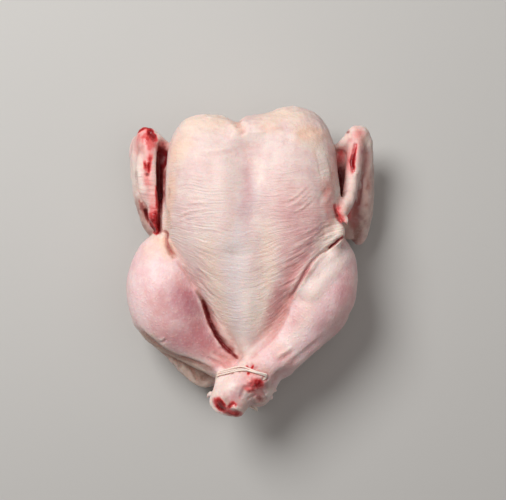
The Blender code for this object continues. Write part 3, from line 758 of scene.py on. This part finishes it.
# what is painted where: line, radius and strength, and the greatest height it reaches;
# a line with a height of its own is read in space, and the others are seen from above
birdPaint = {
    "cream": [
        ([(-55, 105), (-36, 110), (-19, 109)], 15, 0.75), ([(-53, 93), (-57, 78)], 10, 0.8),
        ([(8, 110), (26, 116), (41, 109)], 14, 0.7), ([(41, 95), (52, 86)], 9, 0.5),
        ([(-36, 17), (-30, -10), (-23, -40), (-16, -58)], 11, 0.45),
        ([(12, 28), (13, 2), (10, -29), (5, -52)], 10, 0.5),
        ([(-58, -82, 33), (-45, -95, 28), (-34, -100, 26)], 20, 0.8),
        ([(-82, -64, 58), (-66, -76, 54), (-50, -83, 54), (-36, -90, 52)], 14, 0.8),
        ([(-86, -58), (-72, -70), (-57, -81), (-42, -91)], 9, 0.5), ([(62, 74), (59, 55)], 9, 0.6),
        ([(69, 30), (64, 22), (58, 14)], 14, 0.7), ([(-74, 18), (-80, 6)], 12, 0.5),
    ],
    "peach": [
        ([(-58, 96), (-63, 76)], 8, 0.5), ([(-62, 68), (-64.5, 48), (-66, 30)], 7, 0.8),
        ([(36, 97), (45, 100), (54, 98)], 9, 0.9), ([(9, 103), (20, 101)], 7, 0.4),
        ([(-50, 93), (-44, 90)], 7, 0.4), ([(-72, 20), (-68, 13), (-64, 5)], 8, 1.2),
        ([(-12, 108), (-8, 100)], 6, 0.4), ([(86, 100), (90, 94)], 7, 0.8), ([(71, 40), (71, 36)], 7, 1),
    ],
    # pink flush of the skin, and painted shade on the right side of the breast, beside the right crease, on
    # the breast's right edge, in the valley between the breast lobes and low on the shanks
    "flushAndPaintedShade": [
        ([(58, 60), (60, 48), (62, 38)], 8, 1.2), ([(62, 40), (60, 30)], 6, 0.4),
        ([(61, 88), (63, 74), (62, 58)], 6, 0.6), ([(26, 62), (28, 42), (30, 15), (26, 0)], 20, 0.22),
        ([(44, 50), (46, 25), (40, 0)], 18, 0.2), ([(38, -2), (28, -18), (20, -38), (12, -56)], 12, 0.7),
        ([(44, -5), (38, -15), (32, -25), (25, -40)], 4, 0.9),
        ([(26, -38), (20, -50), (12, -64)], 6, 0.5), ([(52, -18), (42, -36), (30, -52)], 10, 0.35),
        ([(20, -66), (28, -75)], 9, 1.1), ([(4, -84), (14, -88)], 9, 0.8),
        ([(-36, -38), (-28, -50), (-20, -62), (-10, -73)], 7, 0.6), ([(-30, -79), (-22, -76)], 9, 0.8),
        ([(-36, -66), (-24, -75), (-14, -80)], 11, 0.8), ([(-2, 74), (-2.6, 48), (-5, 20)], 9, 0.22),
        ([(73, -6), (76, -28), (66, -48)], 14, 0.25), ([(-50, -58), (-40, -68)], 14, 0.6),
        ([(-75, -28), (-68, -42)], 14, 0.5), ([(-57, -13), (-52, -22)], 6, 0.5),
        ([(-46, -44), (-40, -56)], 7, 0.5), ([(-72, -52), (-62, -60)], 14, 0.35),
        ([(-87, 102), (-86, 84)], 14, 1.3), ([(-84, 90), (-82, 66), (-80, 48)], 8, 0.5),
        ([(-79, 66), (-77, 46)], 7, 1), ([(83, 103), (82, 92), (80, 78)], 9, 1.4),
        ([(79, 74), (78, 60), (76, 48)], 8, 0.8), ([(91, 86), (92, 60), (89, 40)], 6, 0.9),
        ([(86, 92), (88, 88)], 6, 1.2), ([(72, 41), (72, 34)], 9, 1), ([(-4, -91), (2, -98)], 14, 1.2),
        ([(12, -104, 58), (4, -112, 56)], 10, 0.5), ([(-28, -105), (-19, -108), (-11, -112)], 11, 1.1),
        ([(-1, -80), (3, -78)], 9, 1), ([(-92, 58), (-89, 44)], 7, 0.9, 60),
        ([(-87, 34), (-82, 22)], 7, 0.5, 56), ([(60, -70), (40, -84), (24, -98)], 10, 0.5, 50),
    ],
    # bruising and lilac on the left thigh and the hock, and painted shade on the right breast, along the
    # right crease, in the valley between the breast lobes, on the right forearm, on the right leg's side and
    # low on the left shank
    "bruiseAndPaintedShade": [
        ([(-60, -24), (-52, -31), (-45, -43)], 15, 1), ([(-53, -25), (-48, -36)], 9, 0.8),
        ([(-44, -54), (-34, -66)], 14, 0.8), ([(-67, -32), (-58, -44)], 11, 0.45),
        ([(34, 45), (35, 20), (32, 0)], 18, 0.28), ([(52, 40), (48, 14), (40, 0)], 13, 0.3),
        ([(32, -8), (22, -28), (14, -46)], 11, 0.3), ([(43, -5), (37, -15), (31, -26)], 3, 0.8),
        ([(-1, 82), (-2, 62), (-4, 40)], 8, 0.22), ([(-60, -58), (-46, -68)], 16, 0.7),
        ([(70, -28), (74, -12)], 10, 0.3), ([(87, 66), (86, 50), (83, 34)], 7, 1),
        ([(80, 38), (80, 14)], 11, 0.5, 50), ([(89, 90), (88, 76)], 5, 0.6),
        ([(-8, -93), (-13, -103)], 7, 0.8), ([(9, -97), (11, -92)], 6, 0.6),
        ([(-1, -106), (4, -110)], 6, 0.3),
    ],
    "keel": [
        ([(-1, 70), (-3, 44), (-9, 17)], 10, 0.8),
        ([(-10, 17), (-12, -14), (-11, -42), (-9, -56)], 13, 1), ([(-8, -92), (-11, -104)], 6, 0.8),
    ],
    # pale skin, rims, knuckle, bone and nails, and painted light where slopes turn from the lamp: the left
    # breast edge, beside the keel, the lower breast and the right thigh, with a painted highlight right of
    # the keel
    "paleAndPaintedLight": [
        ([(-30, -100), (-22, -94), (-14, -90)], 12, 1.1), ([(2, -20), (1, -40), (-1, -52)], 14, 1.1),
        ([(-27, 80), (-25, 50), (-22, 24)], 16, 0.3), ([(-8, -62), (-6, -76)], 9, 1),
        ([(-8, 20), (-10, -30)], 24, 0.3), ([(4, 78), (5, 62)], 8, 0.9),
        ([(46, -38), (34, -56), (20, -70)], 9, 0.6), ([(-67.4, 78), (-67, 34)], 3, 0.5),
        ([(55, 86), (56, 64)], 8, 0.8), ([(68, 28), (60, 16), (52, 8)], 10, 0.8),
        ([(67, 6), (58, -5), (50, -17), (42, -28)], 13, 1.3),
        ([(-31.6, -104), (-32.5, -112), (-28, -118), (-20, -121.5), (-12, -122), (-7, -118)], 3.2, 1.8),
        ([(-12.4, -113.4), (-9, -115.2)], 3.2, 1.6), ([(-33, -100), (-24, -104)], 4, 0.8),
        ([(-19, -111.6)], 2.2, 1.4), ([(80, 70), (79, 58), (77, 48)], 9, 0.7),
        ([(82.6, 86), (82, 75)], 2.2, 1.4), ([(92, 97), (93, 92)], 5, 1),
        ([(74, 32), (75, 28)], 2.6, 2, 82), ([(-81.4, 31), (-79.8, 27.6)], 2, 2.6),
        ([(-88, 84), (-88, 70), (-86.4, 58)], 5, 0.8),
        ([(-94, 82), (-94.5, 66), (-92, 50)], 7, 0.7, 56), ([(77, 100), (71, 92)], 3, 0.8),
        ([(2, -116, 48), (5, -119, 46)], 4, 0.9), ([(14, -98), (14.5, -105), (9, -112)], 4, 1.3),
        ([(-3, -101), (0, -107)], 6, 1), ([(3, -116)], 4, 1),
    ],
    # dark maroon of the cut flesh at the hock, and painted shade at the bottom of the wing pits, in the
    # groove by the left hand and along the gap between the left leg and the breast
    "maroonAndPaintedShade": [
        ([(-74, 84), (-74, 60), (-73, 44)], 10, 1.6, 58), ([(-72, 92), (-71, 80)], 8, 1, 58),
        ([(-71, 86, 47), (-69.6, 81, 47), (-69, 76, 47)], 6, 1.8),
        ([(-73.4, 56), (-72.8, 40), (-72.9, 24)], 2.6, 1.6),
        ([(-85.6, 41), (-83.5, 34.5), (-77.6, 24.6)], 2.4, 1.4), ([(-89.5, 49), (-88.5, 42)], 3, 0.6),
        ([(-87, 45), (-86, 36)], 5, 0.5, 56), ([(70, 78), (70, 62), (69, 46)], 10, 1.2, 60),
        ([(-38.6, -31), (-34.9, -42), (-31.2, -52), (-26.8, -60), (-21.8, -67), (-12, -76)], 2.4, 2.2),
        ([(-33, -46), (-28, -57), (-22, -65)], 5, 0.45), ([(-19, -68), (-14, -70)], 4, 0.5),
        ([(-25.4, -109.8), (-22.8, -112.8)], 3, 0.8),
        ([(-24, -115), (-18, -117.6), (-10, -119)], 3.8, 0.7), ([(-17.6, -111.4), (-16.4, -109)], 2, 1),
        ([(4.6, -106), (8, -108.4)], 3, 0.7), ([(-82.6, 69)], 2.4, 2.2),
        ([(-80, 101), (-78, 98.5)], 2.6, 0.7), ([(64.4, 42), (65.4, 38), (67.4, 34.6)], 1.6, 1),
        ([(70.6, 19.4), (66, 15.4), (60.4, 10.8)], 1.5, 1.9),
        ([(-62, 6), (-65, 11), (-66.8, 17), (-66, 22), (-71, 25)], 1.6, 0.7),
        ([(84, 48), (82, 36), (81, 27)], 6, 0.35, 60), ([(76.5, 103)], 1.8, 0.9),
    ],
    "blood": [
        ([(-91, 103), (-85, 106.5), (-80, 106)], 2, 1.6),
        ([(-82, 104.4), (-79.4, 101), (-77, 97.4)], 3.8, 2.2), ([(-88, 101), (-83, 95)], 11, 0.52),
        ([(-83, 98), (-78, 90)], 7, 0.5), ([(-80, 86), (-81, 78)], 7, 0.34),
        ([(-79.8, 83), (-80.8, 77)], 2.8, 0.9), ([(-84.6, 79), (-84, 73)], 2.2, 0.9),
        ([(-81, 77), (-81.6, 71)], 2.2, 1.3), ([(-84, 72), (-82, 60)], 7, 0.34),
        ([(-79, 54), (-77.4, 40)], 6, 0.26), ([(-75.6, 60), (-75, 42)], 1.5, 1),
        ([(-80, 40), (-77, 30)], 9, 0.8), ([(-79, 33), (-75.5, 27)], 5, 0.9),
        ([(-75.3, 38), (-74.8, 30), (-76, 23)], 3, 2.2), ([(-78, 25), (-75.5, 23.5)], 3.6, 2.4),
        ([(80.2, 83.6), (79.5, 79.6), (79.8, 75)], 2.4, 2.6),
        ([(82.6, 92), (81.4, 87), (79.8, 79), (80.3, 71)], 1.7, 1.6),
        ([(81, 90), (79, 80), (78.6, 70)], 6, 0.4), ([(72, 88), (71, 80)], 7, 0.6, 60),
        ([(86, 104), (84, 96)], 10, 0.25), ([(66.8, 43), (67.8, 37), (71, 31)], 4.4, 0.7),
        ([(79.6, 41), (78.6, 34)], 4, 0.5, 66), ([(-3, -92), (4, -98)], 11, 0.42),
        ([(1.4, -92.4), (4.4, -96)], 5, 0.55), ([(4.6, -92), (7.4, -97)], 4.4, 1),
        ([(-6.4, -98.4), (-1, -99.8), (3, -99)], 2.8, 0.4), ([(-2.8, -87), (-2, -84)], 1.7, 1.8),
        ([(-4.2, -81), (-3, -83.5)], 1.5, 1.4), ([(1.2, -80.4), (-0.6, -83.5)], 1.5, 1.4),
        ([(-26.6, -109.4), (-22, -113.6)], 7.4, 0.6), ([(-26, -109.4), (-22.6, -113)], 5.4, 2.4),
        ([(-24, -114.6), (-18, -117.4), (-10, -119)], 4.4, 0.9),
        ([(-17.8, -112.6), (-14.8, -108.8)], 2.4, 1.3), ([(-14.6, -108.8), (-11.8, -111)], 2.2, 1),
        ([(5, -104), (8, -110)], 7, 0.26), ([(12, -106, 58)], 5, 0.4),
        ([(-73, 94), (-71, 84)], 7, 0.35, 56), ([(63, 45), (64, 39)], 3, 0.3),
    ],
    # brown patches and ticks on the forearms, the flap and the hock, and painted shade in creases, grooves
    # and gaps, along the leg's lower edge, on the flap's underside and on the right forearm
    "brownAndPaintedShade": [
        ([(-92, 72), (-91.5, 60)], 2.2, 1.2), ([(-91, 44), (-88, 30), (-82, 16)], 13, 1, 54),
        ([(-74, 97), (-71, 88)], 8, 0.8, 56), ([(-90, 50), (-88, 42)], 5, 0.9),
        ([(-64.4, 58), (-63.8, 54), (-65, 50)], 1.4, 0.35), ([(-65.4, 41), (-64.2, 37)], 1.4, 0.35),
        ([(92, 80), (94, 55), (93, 35), (90, 18)], 15, 0.5, 54), ([(92, 60), (90, 30)], 4, 0.4, 54),
        ([(86, 16), (86, 26)], 5, 1, 50), ([(-73, 96), (-71, 90)], 7, 0.5),
        ([(71, 92), (71, 84)], 9, 0.9, 60), ([(-68, -68, 30), (-55, -84, 30), (-42, -96, 26)], 18, 0.8),
        ([(-52, -80, 56), (-42, -86, 52), (-34, -94, 46)], 10, 0.6),
        ([(-29, -88), (-33, -84.2), (-47.6, -78), (-63, -73), (-76, -63.6), (-88, -53)], 3.8, 1),
        ([(-60.4, 4.2), (-63, 7.6), (-65.4, 12.4)], 3.4, 1.2),
        ([(-43, -23), (-40.4, -27.4), (-38, -32)], 2, 1.6),
        ([(-42, -20), (-48, -12), (-54, -3)], 4, 0.4), ([(66, 34), (58, 26)], 6, 0.25),
        ([(-42, -94), (-38, -98)], 8, 0.7, 40), ([(-84, -58), (-76, -64)], 8, 0.4),
        ([(-20.6, -105.4), (-17.8, -110)], 3.6, 1.2), ([(-20, -116), (-11, -118)], 3.4, 0.35),
        ([(80, 34), (78, 14)], 12, 1, 48), ([(-1, -111), (10, -109)], 7, 0.6),
        ([(9, -94), (13, -98)], 6, 0.6), ([(60, -66, 44), (42, -80, 44), (26, -92, 42)], 10, 0.5),
        ([(-50, -86, 40), (-40, -94, 36)], 9, 0.5),
    ],
}


def paintBird(bird, paint):
    points = pointsOf(bird)
    exposed = seenFromAbove(points)
    # how a stroke's edge strays: coarse and fine, as a share of its radius up to a widest
    coarse, fine, widest, cover = 0.30, 0.22, 9, 1.5
    stray = coarse * wanderVector(points, 8, 1) + fine * wanderVector(points, 2.6, 2)
    for name, strokes in paint.items():
        bare = np.ones(len(points))
        for line, radius, strength, *highest in strokes:
            strayed = points + min(radius, widest) * stray
            share = 1 - np.exp(-cover * strength * dabbed(strayed, line, radius))
            if highest:
                share = share * eased(highest[0] - points[:, 2], -3, 3)
            elif len(line[0]) == 2:
                share = share * exposed
            bare *= 1 - share
        keepMask(bird, name, 1 - bare)
    # crease depth, which the skin turns into painted shade in creases and a painted highlight on ridges
    keepMask(bird, "crease", hollowness(bird, points, rounds=14, depth=0.55))
    keepMask(bird, "wrinkleRun", wrinkleRun(points))
    keepMask(bird, "wrinkling", np.clip(wrinkledShare(points, -88, 0.35, 0.5) + 0.2, 0, 1))
    keepMask(bird, "leg", legShare(points) * (1 - flapShare(points)))


skinLook = {
    "breast": ((231, 210, 203), (223, 192, 188)),
    "leg": ((243, 214, 213), (233, 188, 190)),
    # painted coats in the order they go on: tone, grain, share everywhere and share with the grain
    "coats": {
        "keel": ((218, 207, 209), "blotch", 0.9, 0.0),
        "cream": ((242, 217, 194), "blotch", 0.55, 0.6),
        "peach": ((240, 194, 164), "speck", 0.4, 0.8),
        # pink flush, and painted shade
        "flushAndPaintedShade": ((214, 138, 132), "blotch", 0.5, 0.7),
        # bruising, and painted shade
        "bruiseAndPaintedShade": ((190, 108, 120), "blotch", 0.45, 0.8),
        # pale skin, and painted light
        "paleAndPaintedLight": ((250, 232, 222), "blotch", 0.5, 0.6),
        # brown, and painted shade
        "brownAndPaintedShade": ((150, 104, 88), "speck", 0.4, 0.9),
    },
    # washes: tone, greatest share, and where it starts and is full
    # painted shade: darker in creases, by the crease depth
    "hollows": ((206, 146, 134), 0.40, 0.05, 0.9),
    # painted highlight: paler on ridges, by the crease depth
    "paintedRidgeHighlight": ((246, 226, 214), 0.35, -0.1, -0.9),
    "flecks": ((212, 158, 146), 0.26, 0.56, 0.74),
    # blood under and on the skin: a pink edge, then red, then crimson
    "stains": [
        ((236, 146, 144), 0.75, 0.0, 0.55),
        ((212, 44, 46), 0.9, 0.24, 0.84),
        ((134, 0, 10), 1.0, 0.62, 1.08),
    ],
    # the maroon's fringe and its darkest tone, for cut flesh and for painted shade in pits and gaps
    "fringe": ((178, 98, 90), 0.7, 0.0, 0.5),
    "darkestMaroonAndShade": ((120, 10, 16), 1.0, 0.35, 1.0),
    "poreTip": (252, 236, 230),
    "poreScale": 0.36,
    "roughness": 0.50,
    "wetGloss": 0.32,
    "reliefDepth": 0.42,
    "flesh": {
        "Subsurface Weight": 0.35,
        "Subsurface Radius": (1.0, 0.38, 0.24),
        "Subsurface Scale": 0.004,
        "Specular IOR Level": 0.42,
    },
}


def skinMaterial(look):
    sheet = Sheet("rawSkin")
    place = sheet.place()
    grains = {"blotch": sheet.grain(place, 0.15, 4.0, 0.6), "speck": sheet.grain(place, 0.75, 3.0, 0.6)}
    blotch, speck = grains["blotch"], grains["speck"]
    cloud = sheet.grain(place, 0.04)
    fibre = sheet.grain(sheet.place((1.0, 0.35, 0.6)), 0.9, 3.0, 0.65)
    sockets = {"Vector": place, "Scale": look["poreScale"]}
    pores = sheet.add("ShaderNodeTexVoronoi", {}, sockets, "Distance")
    leg, crease, cream = sheet.mask("leg"), sheet.mask("crease"), sheet.mask("cream")
    blood, maroonAndPaintedShade = sheet.mask("blood"), sheet.mask("maroonAndPaintedShade")

    rosy = sheet.band(blotch * 0.5 + cloud * 0.5, 0.36, 0.66)
    breastTone = sheet.tinted(rosy, *look["breast"])
    colour = sheet.tinted(leg, breastTone, sheet.tinted(rosy, *look["leg"]))
    # the coats: flush, bruise and brown also hold painted shade, and pale holds painted light
    for name, (tone, grain, everywhere, mottled) in look["coats"].items():
        colour = sheet.tinted(sheet.mask(name) * (everywhere + grains[grain] * mottled), colour, tone)
    # painted shade in the creases and a painted highlight on the ridges, both from the crease depth
    colour = sheet.washed(crease, colour, look["hollows"])
    colour = sheet.washed(crease, colour, look["paintedRidgeHighlight"])
    # pale follicle tips, most on the legs, and a fine fleck all over
    tips = sheet.band(pores, 0.55, 0.08) * (0.04 + leg * 0.07)
    colour = sheet.tinted(tips, colour, look["poreTip"])
    colour = sheet.washed(speck, colour, look["flecks"])
    stain = blood * (0.50 + fibre * 0.45 + blotch * 0.6)
    for wash in look["stains"]:
        colour = sheet.washed(stain, colour, wash)
    # dark maroon of cut flesh, and painted shade deep in pits and gaps
    deep = maroonAndPaintedShade * (0.45 + fibre * 0.6 + blotch * 0.5)
    colour = sheet.washed(deep, colour, look["fringe"], 1.0 - blood)
    colour = sheet.washed(deep, colour, look["darkestMaroonAndShade"])

    # fine wrinkles, follicles and the skin's grain
    across = sheet.place((0.05, 0.0, 0.05))
    run = sheet.add("ShaderNodeCombineXYZ", {}, {"Y": sheet.mask("wrinkleRun") * 0.5})
    run = sheet.add("ShaderNodeVectorMath", {"operation": "ADD"}, {0: across, 1: run})
    wrinkles = sheet.grain(run, 1.0, 2.0, 0.55, 0.15)
    follicles = sheet.band(pores, 0.45, 0.05)
    wet = sheet.maths("SUBTRACT", blood, maroonAndPaintedShade, clamp=True)
    relief = wrinkles * sheet.mask("wrinkling") * 1.6
    relief = relief + follicles * (0.22 + leg * 0.2 + cream * 0.3)
    relief = relief + speck * (0.55 - wet * 0.4) + blotch * 0.5
    roughness = look["roughness"] + (speck - 0.5) * 0.25 - wet * look["wetGloss"] - leg * 0.04
    surface = {"Base Color": colour, "Roughness": roughness, **look["flesh"]}
    return sheet.finish(surface, relief, look["reliefDepth"])


# the leg tie: thin elastic round both shanks

tieLook = {
    "centre": (-5, -100.9, 60),
    "lean": 42,
    "swing": 14,
    "reach": (24, 36),
    "thickness": 1.3,
    "sunk": 0.15,
    "hiddenSunk": 8.0,  # where it goes in between the shanks
    "bend": (-0.9, 2.6, -12, 8),  # out of its plane on the left and right, and where that changes
    "strands": [(-1.3, 2), (0.0, 1), (1.3, 3)],  # each one's shift out of the plane, and its seed
    "points": 150,
    "easing": 6,
    "play": (0.35, 0.2),
    "bite": 0.9,
    "biteReach": 3.2,
    "tones": ((252, 226, 212), (255, 240, 228)),
    "stain": ((228, 168, 156), 0.25, 0.5, 0.7),
    "reliefDepth": 0.12,
    "rubber": {
        "Subsurface Weight": 0.2,
        "Subsurface Radius": (1.0, 0.6, 0.4),
        "Subsurface Scale": 0.001,
    },
}


def tieAxes(look):
    # sideways and upward in the tie's plane, and outward from it
    swing, lean = math.radians(look["swing"]), math.radians(look["lean"])
    sideways = np.array([math.cos(swing), -math.sin(swing), 0])
    upward = np.array([0, math.sin(lean), math.cos(lean)])
    upward = upward - sideways * (upward @ sideways)
    upward = upward / np.linalg.norm(upward)
    return sideways, upward, np.cross(sideways, upward)


def tieBend(across, look, shift):
    # how far out of the plane a strand lies; the strands close up on the right
    left, right, start, end = look["bend"]
    share = eased(across, start, end)
    return left + (right - left) * share + shift * (1 - 0.7 * share)


def tieStrand(bird, look, shift, seed):
    # a taut loop: the hull of what its plane cuts, with a little play
    centre = np.array(look["centre"], float)
    sideways, upward, outward = tieAxes(look)
    offset = pointsOf(bird) - centre
    inPlane = np.abs(offset @ outward - tieBend(offset @ sideways, look, shift)) < 0.9
    flat = np.stack([offset @ sideways, offset @ upward], axis=1)[inPlane]
    flat = flat[np.all(np.abs(flat) < look["reach"], axis=1)]
    turns = np.linspace(0, math.tau, look["points"], endpoint=False)
    facing = np.stack([np.cos(turns), np.sin(turns)], axis=1)
    far = flat[np.argmax(flat @ facing.T, axis=0)]
    sunk = look["sunk"] + look["hiddenSunk"] * eased(facing[:, 0], 0.35, 0.8)
    loop = far + facing * (look["thickness"] / 2 - sunk)[:, None]
    for _ in range(look["easing"]):
        loop = (np.roll(loop, 1, 0) + 2 * loop + np.roll(loop, -1, 0)) / 4
    slow, quick = look["play"]
    play = slow * np.sin(turns * 3 + seed * 2) + quick * np.sin(turns * 7 + seed)
    play = play + tieBend(loop[:, 0], look, shift)
    return centre + loop[:, :1] * sideways + loop[:, 1:] * upward + play[:, None] * outward


def biteTie(bird, strands, look):
    # the flesh gives way under each strand
    points = pointsOf(bird)
    centre = np.array(look["centre"], float)
    inward = centre - points
    inward = inward / np.linalg.norm(inward, axis=1)[:, None]
    for strand in strands:
        near = np.flatnonzero(np.linalg.norm(points - centre, axis=1) < 50)
        gaps = np.linalg.norm(points[near][:, None] - strand[None, ::2], axis=2).min(axis=1)
        share = np.clip(1 - (gaps / look["biteReach"]) ** 2, 0, 1) ** 2
        points[near] += inward[near] * (share * look["bite"])[:, None]
    movePoints(bird, points)


def makeTie(strands, look):
    radii = np.full(look["points"], look["thickness"] / 2)
    return joined([tubeAlong(strand, radii, closed=True) for strand in strands])


def elasticMaterial(look):
    sheet = Sheet("elastic")
    place = sheet.place()
    fuzz = sheet.grain(place, 1.6, 3.0, 0.6)
    colour = sheet.tinted(fuzz, *look["tones"])
    colour = sheet.washed(sheet.grain(place, 0.12), colour, look["stain"])
    ribs = {"Vector": place, "Scale": 1.1, "Distortion": 1.5}
    ribs = sheet.add("ShaderNodeTexWave", {"bands_direction": "DIAGONAL"}, ribs, "Fac")
    surface = {"Base Color": colour, "Roughness": 0.42 + fuzz * 0.15, **look["rubber"]}
    return sheet.finish(surface, ribs * 0.5 + fuzz * 0.5, look["reliefDepth"])


addStudio(studio)
addFloor(studio)
print("studio ready")

bird = sculptBird(birdForm, birdSkinFolds)
strands = [tieStrand(bird, tieLook, *strand) for strand in tieLook["strands"]]
biteTie(bird, strands, tieLook)
paintBird(bird, birdPaint)
settle(bird, "birdSkin", skinMaterial(skinLook))
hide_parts("chicken")
print("bird painted:", len(bird.data.vertices), "points")

tie = makeTie(strands, tieLook)
settle(tie, "legTie", elasticMaterial(tieLook))
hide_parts("leg_tie")
print("tie laid")
